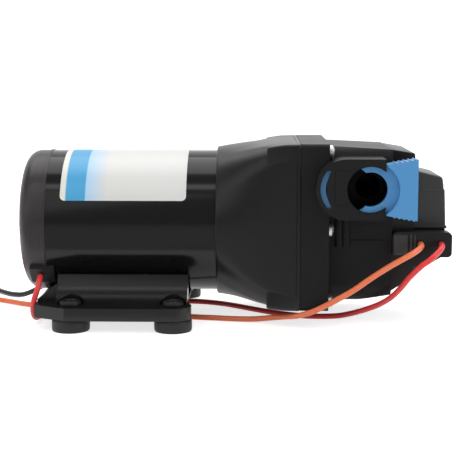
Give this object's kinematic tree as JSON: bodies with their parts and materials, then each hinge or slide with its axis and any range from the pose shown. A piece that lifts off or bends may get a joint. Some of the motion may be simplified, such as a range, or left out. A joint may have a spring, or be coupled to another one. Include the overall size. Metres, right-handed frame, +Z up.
{
  "type": "caravan water pump",
  "caption": "Self-priming diaphragm water pump: round motor on a saddle base, wobble drive, valve head with two clip-lock ports and a pressure switch, and loose supply leads.",
  "frame": {"origin": "centre of the four mounting holes, on the floor under the feet", "axes": "+X along the motor axis towards the pump head, +Z up, -Y towards the side with the wire block"},
  "size_m": [0.2855, 0.1228, 0.0907],
  "materials": {
    "base_plastic": "moulded satin",
    "foot_rubber": "matt",
    "can_paint": "gloss",
    "cap_paint": "satin",
    "label_film": "printed film",
    "steel": "plated",
    "cast_alloy": "cast",
    "magnet": "sintered",
    "lamination": "stacked sheet",
    "copper": "bright",
    "brass": "bright",
    "card": "pressed sheet",
    "housing_plastic": "moulded satin",
    "switch_plastic": "moulded gloss",
    "white_plastic": "moulded",
    "black_rubber": "smooth",
    "red_rubber": "smooth",
    "clip_blue": "moulded gloss",
    "red_plastic": "moulded",
    "red_sheath": "extruded",
    "orange_sheath": "extruded",
    "black_sheath": "extruded"
  },
  "bodies": {
    "pump_body": {"mounting_base": "base_plastic", "rubber_feet": "foot_rubber", "base_screws": "steel", "motor_can": "can_paint", "motor_rear_cap": "cap_paint", "rating_label": "label_film", "wire_grommets": "foot_rubber", "front_plate": "cast_alloy", "through_bolts": "steel", "field_magnets": "magnet", "rear_bearing": "steel", "front_bearing": "steel", "brush_card": "card", "brush_boxes": "brass", "carbon_brushes": "magnet", "brush_springs": "steel", "drive_housing": "housing_plastic", "bell_screws": "steel", "diaphragm": "black_rubber", "valve_plate": "white_plastic", "inlet_valves": "red_rubber", "outlet_valve": "red_rubber", "valve_seal": "black_rubber", "pump_head": "housing_plastic", "head_screws": "steel", "head_end_cover": "housing_plastic", "end_cover_screws": "steel", "switch_diaphragm": "black_rubber", "switch_spring": "steel", "switch_cover": "switch_plastic", "microswitch": "card", "wire_block": "housing_plastic", "red_wire": "red_sheath", "orange_wire": "orange_sheath", "orange_wire_coil": "orange_sheath", "black_wire": "black_sheath", "black_wire_coil": "black_sheath", "coil_ties": "housing_plastic", "wire_ends": "copper"},
    "rotor": {"armature_shaft": "steel", "armature_core": "lamination", "armature_windings": "copper", "commutator": "copper", "eccentric": "cast_alloy", "set_screw": "steel"},
    "wobble": {"wobble_bearing": "steel", "wobble_plate": "white_plastic", "pistons": "white_plastic", "piston_screws": "steel"},
    "near_clip": {"port_clip_near": "clip_blue"},
    "far_clip": {"port_clip_far": "clip_blue"},
    "plunger": {"switch_plunger": "white_plastic"},
    "button": {"microswitch_button": "red_plastic"},
    "adjuster": {"adjusting_screw": "brass"}
  },
  "joints": [
    {"name": "rotor_spin", "type": "hinge", "parent": "pump_body", "child": "rotor", "pos_m": [0, 0, 0.049], "axis": [1, 0, 0], "continuous": true, "deforming": ["diaphragm"]},
    {"name": "wobble_spin", "type": "hinge", "parent": "rotor", "child": "wobble", "pos_m": [0.087, 0, 0.049], "axis": [0.9986, 0, -0.0523], "continuous": true},
    {"name": "near_clip_slide", "type": "slide", "parent": "pump_body", "child": "near_clip", "axis": [1, 0, 0], "range_m": [0, 0.01]},
    {"name": "far_clip_slide", "type": "slide", "parent": "pump_body", "child": "far_clip", "axis": [1, 0, 0], "range_m": [0, 0.01]},
    {"name": "plunger_slide", "type": "slide", "parent": "pump_body", "child": "plunger", "axis": [1, 0, 0], "range_m": [0, 0.0008], "stiffness_N_per_m": 4000, "springref_m": -0.001, "deforming": ["switch_spring"]},
    {"name": "button_slide", "type": "slide", "parent": "pump_body", "child": "button", "axis": [1, 0, 0], "range_m": [0, 0.0008]},
    {"name": "adjuster_turn", "type": "hinge", "parent": "pump_body", "child": "adjuster", "pos_m": [0.158, 0, 0.057], "axis": [1, 0, 0], "range_deg": [-180, 180]}
  ],
  "couplings": [
    {"joint": "wobble_spin", "follows": "rotor_spin", "ratio": -1},
    {"joint": "button_slide", "follows": "plunger_slide", "ratio": 1}
  ]
}
